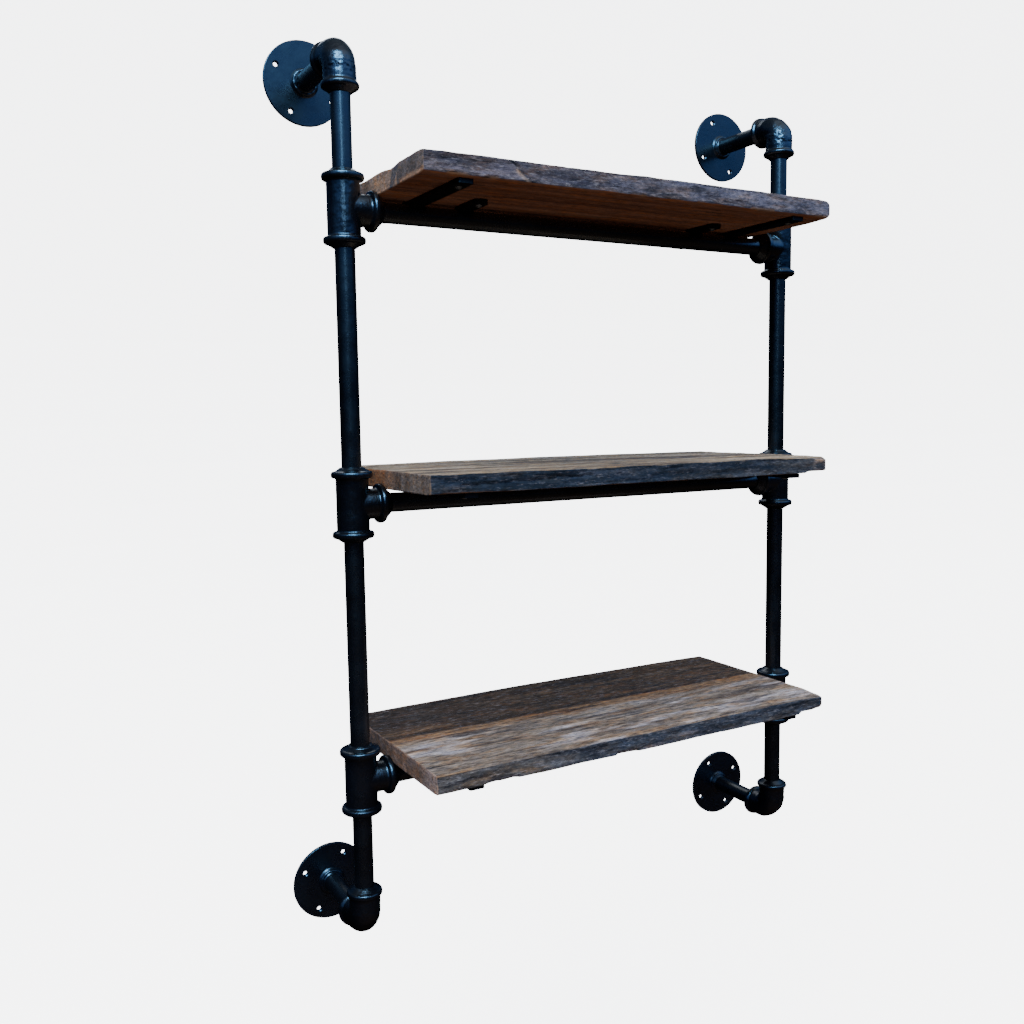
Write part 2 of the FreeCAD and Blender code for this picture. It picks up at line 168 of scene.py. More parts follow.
def fill_ramp(node, stops):
    """Give a colour ramp its stops: (position, colour or grey)."""
    elements = node.color_ramp.elements
    while len(elements) < len(stops):
        elements.new(0.5)
    for element, (position, colour) in zip(elements, stops):
        grey = isinstance(colour, (int, float))
        element.position = position
        element.color = (colour, colour, colour, 1) if grey else (*colour, 1)


class Shader:
    """Small helper that keeps a material's node graph readable."""

    def __init__(self, name):
        self.material = bpy.data.materials.new(name)
        self.material.use_nodes = True
        self.tree = self.material.node_tree
        self.bsdf = self.tree.nodes["Principled BSDF"]
        self.coords = self.tree.nodes.new("ShaderNodeTexCoord").outputs["Object"]

    def link(self, source, target):
        self.tree.links.new(source, target)

    def feed(self, value, socket):
        """Link a socket, or set it to a number or a colour."""
        if isinstance(value, bpy.types.NodeSocket):
            self.link(value, socket)
        else:
            socket.default_value = value if isinstance(value, (int, float)) else (*value, 1)

    def noise(self, cells, detail, rough, distortion=0.0):
        """Noise in cells per metre: one number, or one for each axis."""
        mapping = self.tree.nodes.new("ShaderNodeMapping")
        mapping.inputs["Scale"].default_value = (cells,) * 3 if isinstance(cells, int) else cells
        self.link(self.coords, mapping.inputs["Vector"])
        node = self.tree.nodes.new("ShaderNodeTexNoise")
        node.inputs["Scale"].default_value = 1.0
        node.inputs["Detail"].default_value = detail
        node.inputs["Roughness"].default_value = rough
        node.inputs["Distortion"].default_value = distortion
        self.link(mapping.outputs["Vector"], node.inputs["Vector"])
        return node.outputs["Fac"]

    def ramp(self, source, stops):
        node = self.tree.nodes.new("ShaderNodeValToRGB")
        fill_ramp(node, stops)
        self.link(source, node.inputs["Fac"])
        return node.outputs["Color"]

    def mix(self, first, second, factor, kind="MIX"):
        node = self.tree.nodes.new("ShaderNodeMix")
        node.data_type = "RGBA"
        node.blend_type = kind
        self.feed(factor, node.inputs[MIX_FACTOR])
        self.feed(first, node.inputs[MIX_FIRST])
        self.feed(second, node.inputs[MIX_SECOND])
        return node.outputs[MIX_RESULT]

    def math(self, kind, first, second):
        node = self.tree.nodes.new("ShaderNodeMath")
        node.operation = kind
        self.feed(first, node.inputs[0])
        self.feed(second, node.inputs[1])
        return node.outputs[0]

    def attribute(self, name, field="Color"):
        node = self.tree.nodes.new("ShaderNodeAttribute")
        node.attribute_name = name
        return node.outputs[field]

    def bump(self, height, distance, after=None):
        """Bump of a height in metres, on top of another bump if one is given."""
        node = self.tree.nodes.new("ShaderNodeBump")
        node.inputs["Distance"].default_value = distance
        node.inputs["Strength"].default_value = 1.0
        self.link(height, node.inputs["Height"])
        if after:
            self.link(after, node.inputs["Normal"])
        return node.outputs["Normal"]

    def surface(self, colour, roughness, normal, specular):
        """Connect the finished channels to the shader."""
        self.link(colour, self.bsdf.inputs["Base Color"])
        self.link(roughness, self.bsdf.inputs["Roughness"])
        self.link(normal, self.bsdf.inputs["Normal"])
        self.bsdf.inputs["Specular IOR Level"].default_value = specular
        return self.material


# ---------------------------------------------------------------- materials


def painted_metal(name, dark, light, rough, peel, lumps, streak=None, specular=0.5):
    """Brushed-on black paint: uneven colour and gloss, dust, soft lumps and orange peel."""
    metal = Shader(name)
    colour = metal.ramp(metal.noise(14, 3, 0.6), [(0.3, dark), (0.72, light)])
    dust = metal.ramp(metal.noise(160, 5, 0.7), [(0.62, 0.0), (0.74, 1.0)])
    dusty = tuple(2.2 * channel for channel in light)
    colour = metal.mix(colour, dusty, metal.math("MULTIPLY", dust, 0.25))
    gloss = metal.ramp(metal.noise(45, 4, 0.6), [(0.3, rough[0]), (0.7, rough[1])])
    normal = metal.bump(metal.noise(110, 2, 0.5), lumps)
    if streak:
        normal = metal.bump(metal.noise(streak, 4, 0.6), 0.6 * lumps, normal)
    normal = metal.bump(metal.noise(900, 2, 0.6), peel, normal)
    return metal.surface(colour, gloss, normal, specular)


# Near-black laid along the cracks in the wood.
CRACK_DARK = (0.014, 0.011, 0.011)
PIT = (0.008, 0.007, 0.008)
FLECK = (0.47, 0.46, 0.52)
WOOD_RELIEF = 0.0012


def reclaimed_wood(name):
    """Weathered wood: painted zones broken up by long grain, cracks, pale flecks and pits."""
    wood = Shader(name)
    zones = wood.tree.nodes.new("ShaderNodeSeparateColor")
    wood.link(wood.attribute("zones"), zones.inputs["Color"])
    is_end, is_hacked, flecks = zones.outputs[0], zones.outputs[1], zones.outputs[2]
    weathered = wood.attribute("zones", "Alpha")

    # Grain: along the board, across its ends, and chopped up on its front edge.
    along = wood.noise((50, 250, 420), 8, 0.76, 0.3)
    across = wood.noise((420, 170, 420), 6, 0.72, 0.4)
    hacked = wood.noise((120, 300, 400), 8, 0.80, 0.5)
    grain = wood.mix(wood.mix(along, across, is_end), hacked, is_hacked)
    shade = wood.ramp(grain, [(0.32, 0.18), (0.46, 0.75), (0.54, 1.15), (0.68, 2.3)])
    colour = wood.mix(wood.attribute("tint"), shade, weathered, "MULTIPLY")

    # Patches of warmer and colder wood.
    hues = [(0.36, (1.32, 0.98, 0.66)), (0.5, (1, 1, 1)), (0.64, (0.90, 0.97, 1.16))]
    hue = wood.ramp(wood.noise((22, 80, 90), 5, 0.7), hues)
    colour = wood.mix(colour, hue, 0.8, "MULTIPLY")

    # Long dark cracks, pale flecks of weathered fibre, and small pits.
    cracks = wood.ramp(wood.noise((9, 125, 140), 7, 0.72, 0.5), [(0.355, 1.0), (0.40, 0.0)])
    cracks = wood.math("MULTIPLY", cracks, wood.math("SUBTRACT", 1.0, is_end))
    colour = wood.mix(colour, CRACK_DARK, wood.math("MULTIPLY", cracks, 0.55))
    pale = wood.ramp(wood.noise((70, 270, 380), 7, 0.8), [(0.54, 0.0), (0.63, 1.0)])
    pale = wood.math("MULTIPLY", pale, flecks)
    colour = wood.mix(colour, FLECK, wood.math("MULTIPLY", pale, 0.6))
    pits = wood.ramp(wood.noise((75, 300, 420), 7, 0.78), [(0.38, 1.0), (0.45, 0.0)])
    pits = wood.math("MULTIPLY", pits, wood.math("MULTIPLY", weathered, 0.65))
    colour = wood.mix(colour, PIT, pits)

    roughness = wood.ramp(grain, [(0.3, 0.92), (0.7, 0.70)])
    normal = wood.bump(grain, WOOD_RELIEF, wood.bump(cracks, WOOD_RELIEF))
    return wood.surface(colour, roughness, normal, 0.12)


PIPE = painted_metal(
    "pipe_paint", dark=(0.0012, 0.0016, 0.0028), light=(0.004, 0.006, 0.010), rough=(0.22, 0.32),
    peel=0.000008, lumps=0.00014, streak=(60, 60, 4))
CAST = painted_metal(
    "casting_paint", dark=(0.0012, 0.0016, 0.0028), light=(0.004, 0.006, 0.011), rough=(0.15, 0.28),
    peel=0.00002, lumps=0.0005, streak=(420, 420, 22))
PLATE = painted_metal(
    "plate_paint", dark=(0.0012, 0.0026, 0.006), light=(0.003, 0.007, 0.015), rough=(0.23, 0.33),
    peel=0.00002, lumps=0.00014)
BAR = painted_metal(
    "bar_paint", dark=(0.0012, 0.0012, 0.0016), light=(0.0035, 0.0035, 0.0045), rough=(0.40, 0.58),
    peel=0.00005, lumps=0.0002, streak=(120, 12, 120), specular=0.12)
SCREW = painted_metal(
    "screw_black", dark=(0.02, 0.02, 0.021), light=(0.06, 0.06, 0.062), rough=(0.3, 0.5),
    peel=0.00003, lumps=0.0001)


# ---------------------------------------------------------------- CAD pieces that stay


KEPT = {"stand_off_pipe": PIPE, "upright_pipe": PIPE, "rail_pipe": PIPE, "wall_flange": PLATE,
        "shelf_arm": BAR, "shelf_lug": BAR, "wood_screws": SCREW}
for node, obj in NODES.items():
    for stem, material in KEPT.items():
        if node.startswith(stem):
            obj.data.materials.clear()
            obj.data.materials.append(material)


# ---------------------------------------------------------------- castings


VOXEL = 1.1 * MM
RELAX_PASSES = 3
MOST_SWELL = 0.25 * MM
TEE_LUMPS = 0.32 * MM
ELBOW_LUMPS = 0.7 * MM
FACET_DEPTH = 2.2 * MM
WRINKLE_DEPTH = 0.8 * MM
NECK_R, RIM_SWELL, RIM_STEP = 21.7, 3.6, 3.0
UPRIGHT_RIM = 36.5 * MM
WALL_RIM = 34.0 * MM


def fused_copy(name, nodes):
    """Copies of CAD meshes grown together into one skin, as a casting is."""
    grown = bmesh.new()
    for node in nodes:
        grown.from_mesh(NODES[node].data)
    bmesh.ops.remove_doubles(grown, verts=grown.verts, dist=1e-6)
    mesh = bpy.data.meshes.new(name + "_raw")
    grown.to_mesh(mesh)
    grown.free()
    obj = link_object(name + "_raw", mesh)
    remesh = obj.modifiers.new("skin", "REMESH")
    remesh.mode = "VOXEL"
    remesh.voxel_size = VOXEL
    relax = obj.modifiers.new("relax", "SMOOTH")
    relax.factor = 0.5
    relax.iterations = RELAX_PASSES
    graph = bpy.context.evaluated_depsgraph_get()
    result = bpy.data.meshes.new_from_object(obj.evaluated_get(graph))
    result.name = name
    bpy.data.objects.remove(obj)
    bpy.data.meshes.remove(mesh)
    return result


def trim_beads(points, centre, sign):
    """Give both ends of an elbow the flared rim of its casting."""
    offset = points - centre
    # Each rim swells over 6.5 mm and steps in again 9 to 12 mm from where it starts.
    for depth, axis, start in ((-sign * offset[:, 2], 2, UPRIGHT_RIM), (offset[:, 1], 1, WALL_RIM)):
        radial = offset.copy()
        radial[:, axis] = 0
        reach = np.linalg.norm(radial, axis=1)
        swell = RIM_SWELL * smooth(depth, start, start + 6.5 * MM)
        rim = NECK_R + swell - RIM_STEP * smooth(depth, start + 9 * MM, start + 12 * MM)
        rim = rim * MM
        outside = (depth > start) & (reach > rim)
        shrink = np.where(outside, rim / np.maximum(reach, 1e-9), 1.0)
        offset = offset - radial * (1 - shrink)[:, None]
    return centre + offset


def elbow_shift(points, centre, sign, seed, shift):
    """Wrinkles round an elbow's barrel, 4 to 34 mm from its corner, and facets on its bend."""
    depth = -sign * (points[:, 2] - centre[2])
    band = smooth(depth, 4 * MM, 12 * MM) * (1 - smooth(depth, 26 * MM, 34 * MM))
    near = np.hypot(points[:, 0] - centre[0], points[:, 1] - centre[1]) < 25 * MM
    wrinkles = fractal(points, (210, 210, 320), seed + 21, 3)
    shift = shift + band * near * (wrinkles - 0.3) * WRINKLE_DEPTH
    facets = np.abs(fractal(points, (42, 42, 42), seed + 30, 2))
    return shift - smooth(-depth, -8 * MM, 4 * MM) * facets * FACET_DEPTH


def make_casting(name, nodes, seed, lumps, elbow=None):
    """One malleable fitting with its bushes, with foundry lumps and thick paint."""
    mesh = fused_copy(name, nodes)
    points = read_points(mesh)
    normals = read_normals(mesh)
    broad = fractal(points, (45, 45, 45), seed, 3) * lumps
    fine = fractal(points, (190, 190, 190), seed + 9, 2) * lumps * 0.3
    shift = np.minimum(broad + fine, MOST_SWELL)
    if elbow:
        centre, sign = np.array(elbow[0]), elbow[1]
        shift = elbow_shift(points, centre, sign, seed, shift)
    points = points + normals * shift[:, None]
    if elbow:
        points = trim_beads(points, centre, sign)
    write_points(mesh, points)
    return piece(name, mesh, CAST, "black_malleable_iron", *nodes)


for number, level in enumerate(LEVELS):
    for side in SIDES:
        tee = "tee_%s_%s" % (level, side)
        bushes = "tee_bushes_%s_%s" % (level, side)
        seed = 100 + 10 * number + (5 if side == "left" else 0)
        make_casting("casting_" + tee, [tee, bushes], seed, TEE_LUMPS)

for end, sign in zip(ENDS, (1, -1)):
    for side in SIDES:
        elbow = "elbow_%s_%s" % (end, side)
        bushes = "elbow_bushes_%s_%s" % (end, side)
        upright = middle_of("upright_pipe_%s_%s" % ("top" if end == "upper" else "bottom", side))
        stand_off = middle_of("stand_off_pipe_%s_%s" % (end, side))
        corner = (upright[0], upright[1], stand_off[2])
        seed = 200 + (7 if end == "upper" else 0) + (3 if side == "left" else 0)
        make_casting("casting_" + elbow, [elbow, bushes], seed, ELBOW_LUMPS, (corner, sign))


# ---------------------------------------------------------------- welds


PIPE_R = 13.45 * MM
HUB_DEPTH = -8.2 * MM
RING_SIDES = 12
RIPPLE_STEP = 1.7
RIPPLE_SIZE = 0.16
WOBBLE = 0.30


def weld(name, path, radius, seed, slot, material, closed=False, rough=1.0):
    """A run of overlapping weld ripples along a path, thicker and thinner by turns."""
    path = np.array(path, float)
    count = len(path)
    along = np.roll(path, -1, axis=0) - np.roll(path, 1, axis=0)
    if not closed:
        along[0] = path[1] - path[0]
        along[-1] = path[-1] - path[-2]
    along /= np.linalg.norm(along, axis=1)[:, None]
    upright = np.array([0.0, 0.0, 1.0])
    flat = upright if abs(along[:, 2]).max() < 0.9 else np.array([0.0, 1.0, 0.0])
    points = []
    for index in range(count):
        first = np.cross(along[index], flat)
        first /= np.linalg.norm(first)
        second = np.cross(first, along[index])
        ripple = 1 + RIPPLE_SIZE * rough * math.sin(index * RIPPLE_STEP)
        # An open run is thinner at its two ends.
        end = 1.0
        if not closed:
            end = min(1.0, 0.35 + 0.65 * math.sin(math.pi * (index + 0.5) / count) * 1.6)
        for side in range(RING_SIDES):
            turn = 2 * math.pi * side / RING_SIDES
            reach = radius * ripple * end
            points.append(path[index] + reach * (math.cos(turn) * first + math.sin(turn) * second))
    points = np.array(points)
    wobble = fractal(points, (260, 260, 260), seed, 2)
    centre = np.repeat(path, RING_SIDES, axis=0)
    points = centre + (points - centre) * (1 + WOBBLE * rough * wobble[:, None])
    mesh = mesh_from(name, points, tube_faces(count, closed))
    fix = bmesh.new()
    fix.from_mesh(mesh)
    bmesh.ops.recalc_face_normals(fix, faces=fix.faces)
    fix.to_mesh(mesh)
    fix.free()
    obj = piece(name, mesh, material, slot)
    subdivision = obj.modifiers.new("round", "SUBSURF")
    subdivision.levels = subdivision.render_levels = 1
    return obj


def tube_faces(count, closed):
    """Faces round a tube of rings, capped unless it closes on itself."""
    faces = []
    for index in range(count if closed else count - 1):
        here, there = index * RING_SIDES, (index + 1) % count * RING_SIDES
        for side in range(RING_SIDES):
            step = (side + 1) % RING_SIDES
            faces.append((here + side, here + step, there + step, there + side))
    if not closed:
        faces.append(tuple(range(RING_SIDES))[::-1])
        faces.append(tuple(range((count - 1) * RING_SIDES, count * RING_SIDES)))
    return faces


def ring_path(centre, radius, axis, count):
    """Points round a centre; axis is 1 for a stand-off pipe and 2 for an upright."""
    path = []
    for index in range(count):
        turn = 2 * math.pi * index / count
        across, rise = radius * math.cos(turn), radius * math.sin(turn)
        if axis == 1:
            path.append((centre[0] + across, centre[1], centre[2] + rise))
        else:
            path.append((centre[0] + across, centre[1] + rise, centre[2]))
    return path


HUB_RING = PIPE_R + 2.6 * MM
HUB_WELD_R = 2.9 * MM
RAIL_AWAY = 5.2 * MM
RAIL_LIFT = 0.6 * MM
BAR_INSET = 1 * MM
BAR_WELD_R = 1.9 * MM
COLLAR_RING = PIPE_R + 1.7 * MM
COLLAR_LIFT = 2.0 * MM
COLLAR_R = 3.4 * MM

for end in ENDS:
    for side in SIDES:
        middle = middle_of("stand_off_pipe_%s_%s" % (end, side))
        path = ring_path((middle[0], HUB_DEPTH, middle[2]), HUB_RING, 1, 44)
        seed = 31 + len(end) + len(side)
        weld("hub_weld_%s_%s" % (end, side), path, HUB_WELD_R, seed,
             "black_flange", PLATE, closed=True, rough=0.5)


def weld_bar(kind, level, side, rail, seed):
    """Two runs of weld where a flat bar crosses its rail, in front of it and behind it."""
    low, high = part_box("shelf_%s_%s_%s" % (kind, level, side))
    height = rail[2] + math.sqrt(PIPE_R ** 2 - RAIL_AWAY ** 2) + RAIL_LIFT
    for face, step in (("front", -1), ("rear", 1)):
        places = np.linspace(low[0] + BAR_INSET, high[0] - BAR_INSET, 16)
        path = [(x, rail[1] + step * RAIL_AWAY, height) for x in places]
        weld("weld_%s_%s_%s_%s" % (kind, level, side, face), path, BAR_WELD_R, seed + step,
             "black_flat_bar", BAR)


for number, level in enumerate(LEVELS):
    rail = middle_of("rail_pipe_" + level)
    for side in SIDES:
        for kind in ("arm", "lug"):
            weld_bar(kind, level, side, rail, 60 + 7 * number)
        tee_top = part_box("tee_%s_%s" % (level, side))[1][2]
        centre = (middle_of("upright_pipe_top_" + side)[0], rail[1], tee_top + COLLAR_LIFT)
        weld("collar_%s_%s" % (level, side), ring_path(centre, COLLAR_RING, 2, 30), COLLAR_R,
             80 + number, "black_malleable_iron", CAST, closed=True, rough=1.0 if level == "top" else 0.3)


# ---------------------------------------------------------------- shape of the boards


CELL_LONG = 2.2 * MM
CELL_DEEP = 2.0 * MM
LAYERS = 14
SAWN_R = 1.2 * MM
REAR_R = 0.8 * MM
LEFT_R = 1.0 * MM
WORN_END_R = 9 * MM
LEAST_R = 0.8 * MM
MOST_UPPER_R = 7 * MM
MOST_LOWER_R = 11 * MM
GROOVE_WIDTH = 2.2 * MM
GROOVE_DEPTH = 3.0 * MM
TOUCH = 1e-6


def grid_box(xs, ys, zs):
    """Closed box of quads with shared vertices, divided at the given places."""
    counts = (len(xs), len(ys), len(zs))
    i, j, k = np.meshgrid(*[np.arange(c) for c in counts], indexing="ij")
    shell = np.zeros(counts, bool)
    for steps, count in zip((i, j, k), counts):
        shell |= (steps == 0) | (steps == count - 1)
    index = np.full(counts, -1)
    index[shell] = np.arange(shell.sum())
    points = np.stack([xs[i[shell]], ys[j[shell]], zs[k[shell]]], axis=1)
    faces = []
    for axis in range(3):
        for end in (0, -1):
            sheet = np.take(index, end, axis=axis)
            quads = np.stack([sheet[:-1, :-1], sheet[1:, :-1], sheet[1:, 1:], sheet[:-1, 1:]], axis=-1)
            quads = quads.reshape(-1, 4)
            if (end == 0) != (axis == 1):
                quads = quads[:, ::-1]
            faces.append(quads)
    return points, np.concatenate(faces)


def round_over(radius, *depths):
    """Round edges and corners: depths are the distances in from the faces that meet there."""
    past = np.stack([np.maximum(radius - depth, 0) for depth in depths])
    reach = np.linalg.norm(past, axis=0)
    shrink = np.where(reach > radius, radius / np.maximum(reach, 1e-9), 1.0)
    rounded = []
    for part, depth in zip(past, depths):
        rounded.append(np.where((part > 0) & (shrink < 1), radius - part * shrink, depth))
    return rounded


def worn_radii(flat, seed, look):
    """Radii of the lower and upper front edges, with bites where splinters broke off."""
    wander = fractal(flat, (26, 1, 1), seed, 4)
    bites = smooth(fractal(flat, (look["bite_rate"], 1, 1), seed + 3, 4), 0.05, 0.32)
    lower = (2.0 + 1.6 * wander + look["bite_depth"] * bites) * MM
    upper = (2.2 + 1.8 * fractal(flat, (45, 1, 1), seed + 5, 4)
             + 3.5 * smooth(fractal(flat, (20, 1, 1), seed + 6, 3), 0.15, 0.5)) * MM
    return np.clip(lower, LEAST_R, MOST_LOWER_R), np.clip(upper, LEAST_R, MOST_UPPER_R)


def rounded_box(start, size, lower, upper, is_front):
    """The board's box with rounded edges, except at the glued seam, where it stays sharp."""
    x, y, z = start.T
    right, front, under = size[0] - x, y, z
    if is_front:
        right, front, under = round_over(lower, right, front, under)
        right, front, top = round_over(upper, right, front, size[2] - under)
    else:
        right, under = round_over(lower, right, under)
        right, top = round_over(upper, right, size[2] - under)
        rear, top = round_over(np.full_like(front, REAR_R), size[1] - front, top)
        front = size[1] - rear
    under = size[2] - top
    left, top = round_over(np.full_like(front, LEFT_R), size[0] - right, top)
    right, under = size[0] - left, size[2] - top
    return np.stack([size[0] - right, front, under], axis=1)


def relieve_faces(points, start, size, top_face, under_face, seed, look):
    """Long grain and broad waves on the upper face, fine grain on the under face."""
    grain = fractal(start, (16, 260, 260), seed + 11, 3)
    broad = fractal(start, (11, 30, 30), seed + 12, 4)
    ridge = (0.4 + 0.4 * grain) * MM
    raised = smooth(start[:, 2], 0.5 * size[2], size[2])
    points[:, 2] -= top_face * ridge + raised * (0.8 * broad * look["top_wave"] - look["proud"]) * MM
    points[:, 2] += under_face * (0.2 + 0.2 * grain) * MM


def relieve_front(points, start, size, left, front_face, near_front, seed, look):
    """Hacked texture, wavy outlines, a thinner right end and a crack along the front edge."""
    x, y, z = start.T
    flat = np.stack([x, np.zeros_like(x), np.zeros_like(x)], axis=1)
    raised = smooth(z, 0.5 * size[2], size[2])
    hack = fractal(start, (70, 1, 230), seed + 14, 4)
    steps = fractal(start, (16, 1, 110), seed + 15, 3)
    inward = (0.8 + 0.8 * hack) * look["front_rough"] * MM
    inward += smooth(steps, 0.1, 0.3) * look["front_step"] * MM
    inward *= smooth(z, 0.0, 3 * MM) * smooth(size[2] - z, 0.0, 2 * MM) * 0.6 + 0.4
    points[:, 1] += front_face * inward
    sag = (0.5 + 0.5 * fractal(flat, (18, 1, 1), seed + 18, 4)) * look["edge_wave"] * MM
    points[:, 2] += smooth(-y, -14 * MM, 0) * (1 - raised) * sag
    dent = (0.4 + 0.6 * fractal(flat, (24, 1, 1), seed + 19, 4)) * look["edge_wave"] * MM
    points[:, 2] -= smooth(-y, -12 * MM, 0) * raised * dent * 0.7
    taper = size[0] - look["taper"] * MM
    thinner = smooth(x, taper, size[0] - (look["taper"] - 8) * MM) * near_front
    points[:, 2] += (1 - raised) * thinner * look["taper_up"] * MM
    if look["crack"]:
        x0, x1, z0, z1 = look["crack"]
        t = (x + left - x0) / (x1 - x0)
        line = z0 + (z1 - z0) * t + fractal(flat, (90, 1, 1), seed + 16, 2) * 0.003
        groove = smooth(-np.abs(z - line), -GROOVE_WIDTH, 0) * ((t > 0) & (t < 1))
        points[:, 1] += front_face * groove * GROOVE_DEPTH


def relieve_ends(points, start, size, front, seed, look):
    """Dips in the outline of the left end, and saw marks on both ends."""
    x, y, z = start.T
    raised = smooth(z, 0.5 * size[2], size[2])
    for centre_y, width, depth in look["end_dips"]:
        dip = np.exp(-((y + front - centre_y) / width) ** 2) * smooth(-x, -45 * MM, 0)
        points[:, 2] -= raised * dip * depth * MM
    saw = fractal(start, (1, 110, 40), seed + 17, 3)
    points[:, 0] += np.where(x < TOUCH, 1, 0) * (0.3 + 0.3 * saw) * MM
    points[:, 0] -= np.where(x > size[0] - TOUCH, 1, 0) * (0.3 + 0.3 * saw) * MM


def make_board(level, part, seed, look):
    """One board: a dense box with worn edges and relief, and its colours."""
    node = "shelf_board_%s_%s" % (level, part)
    low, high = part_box(node)
    size = high - low
    is_front = part == "front"
    across = np.linspace(0, size[0], int(round(size[0] / CELL_LONG)) + 1)
    inward = np.linspace(0, size[1], int(round(size[1] / CELL_DEEP)) + 1)
    start, faces = grid_box(across, inward, np.linspace(0, size[2], LAYERS + 1))
    x, y, z = start.T
    flat = np.stack([x, np.zeros_like(x), np.zeros_like(x)], axis=1)

    # Which face each point is on; the frame's -Y is the front.
    end_face = (x < TOUCH) | (x > size[0] - TOUCH)
    front_face = (y < TOUCH) & is_front
    top_face = z > size[2] - TOUCH
    under_face = z < TOUCH

    # Worn edges along the front, more worn at the right end, and sawn edges behind.
    lower, upper = worn_radii(flat, seed, look)
    near_front = smooth(-y, -60 * MM, -10 * MM) if is_front else np.zeros_like(y)
    near_end = smooth(x - size[0], -34 * MM, -5 * MM)
    lower = lower * (1 - near_end) + look["end_round"] * MM * near_end
    upper = upper * (1 - near_end) + WORN_END_R * near_end
    lower = lower * near_front + SAWN_R * (1 - near_front)
    upper = upper * near_front + SAWN_R * (1 - near_front)
    points = rounded_box(start, size, lower, upper, is_front)

    relieve_faces(points, start, size, top_face, under_face, seed, look)
    if is_front:
        relieve_front(points, start, size, low[0], front_face, near_front, seed, look)
    relieve_ends(points, start, size, low[1], seed, look)
    if look["lift"] and not is_front:
        rise = np.sin(np.pi * x / size[0]) * smooth(y, 0.3 * size[1], size[1])
        points[:, 2] += rise * look["lift"] * MM

    # Colours of the faces, and of the wood that shows where a splinter broke off.
    place, height = start + np.array(low), z / size[2]
    front_tint = look["front"](place, height, seed, part)
    tint = front_tint
    for mask, zone in ((top_face, look["top"](place, height, seed, part)),
                       (under_face, look["under"](place, height, seed, part)),
                       (front_face, front_tint),
                       (end_face, look["end"](place, height, seed, part))):
        tint = np.where(mask[:, None], zone, tint)
    chipped = is_front * smooth(lower, 3.5 * MM, 6.5 * MM) * smooth(-z, -look["chip_height"] * MM, 0)
    chipped = chipped * smooth(-y, -9 * MM, -0.5 * MM)
    tint = over(tint, look["chip_colour"], chipped[:, None])

    # Channels for the material: end grain, hacked grain, pale flecks, and how weathered.
    flecks = np.maximum(front_face * look["front_flecks"], top_face * look["top_flecks"])
    weathered = np.where(under_face, 0.3, np.where(end_face, 0.65, 1.0))
    zones = np.stack([end_face * 1.0, front_face * 0.85, flecks, weathered], axis=1)

    mesh = mesh_from("board_%s_%s" % (level, part), points + np.array(low), faces)
    paint(mesh, "tint", np.clip(tint, 0, 1))
    paint(mesh, "zones", np.clip(zones, 0, 1))
    return piece(mesh.name, mesh, look["material"], "reclaimed_wood_" + level, node)


# ---------------------------------------------------------------- colours of the boards
# Every painter takes the points, their height from 0 to 1, a seed, and rear or front.


DARK_GRAIN = (0.03, 0.02, 0.015)
TOP_SPLIT = (-0.222, -0.190, 0.0255, 0.003)


def shades(where, cells, seed, colours):
    """Patchwork of colours: noise picks a place along the list."""
    pick = np.clip(fractal(where, cells, seed, 3) * 0.9 + 0.5, 0, 0.9999) * (len(colours) - 1)
    first = pick.astype(int)
    part = (pick - first)[:, None]
    table = np.array(colours)
    return table[first] * (1 - part) + table[np.minimum(first + 1, len(colours) - 1)] * part


def streaks(where, cells, seed, low, high):
    """Patches of noise from 0 to 1; few cells per metre along X make them long."""
    return smooth(fractal(where, cells, seed, 3), low, high)[:, None]


def over(base, colour, mask):
    """Lay a colour over others where the mask says."""
    return base * (1 - mask) + np.array(colour) * mask


def spots(place, centres, size_x, size_y):
    """Soft oval marks, such as knots and nail stains."""
    total = np.zeros(len(place))
    for cx, cy in centres:
        far_x, far_y = (place[:, 0] - cx) / size_x, (place[:, 1] - cy) / size_y
        total = np.maximum(total, np.exp(-far_x ** 2 - far_y ** 2))
    return total[:, None]


def top_under(place, height, seed, part):
    """Planed red-brown face."""
    browns = [(0.13, 0.055, 0.032), (0.21, 0.09, 0.052), (0.26, 0.125, 0.075)]
    base = shades(place, (3, 60, 1), seed + 40, browns)
    return over(base, (0.07, 0.028, 0.02), streaks(place, (5, 130, 1), seed + 41, 0.15, 0.55) * 0.7)


def top_front(place, height, seed, part):
    """Grey weathered edge, dark at the left and bluer to the right, with one split."""
    greys = [(0.05, 0.045, 0.055), (0.115, 0.105, 0.12), (0.20, 0.18, 0.20)]
    base = shades(place, (18, 1, 130), seed + 42, greys)
    base = over(base, (0.22, 0.15, 0.12), streaks(place, (12, 1, 90), seed + 43, 0.4, 0.65) * 0.5)
    # Darker and greyer at the left, lighter and bluer towards the right.
    rightward = smooth(place[:, 0], -0.30, 0.25)[:, None]
    base = base * ((1 - rightward) * np.array([0.80, 0.80, 0.86]) + rightward * np.array([1.12, 1.22, 1.40]))
    base = over(base, (0.015, 0.014, 0.018), streaks(place, (25, 1, 260), seed + 44, 0.2, 0.45) * 0.7)
    start, stop = TOP_SPLIT[:2]
    along = (place[:, 0] - start) / (stop - start)
    below = (1 - along) - height
    inside = (along > 0) & (along < 1)
    sliver = smooth(below, 0.02, 0.10) * (1 - smooth(below, 0.22, 0.34)) * (along > 0.3) * inside
    base = over(base, (0.42, 0.33, 0.27), sliver[:, None] * 0.85)
    line = (smooth(-np.abs(below), -0.10, -0.03) * inside)[:, None]
    return over(base, (0.008, 0.008, 0.010), line * 0.95)


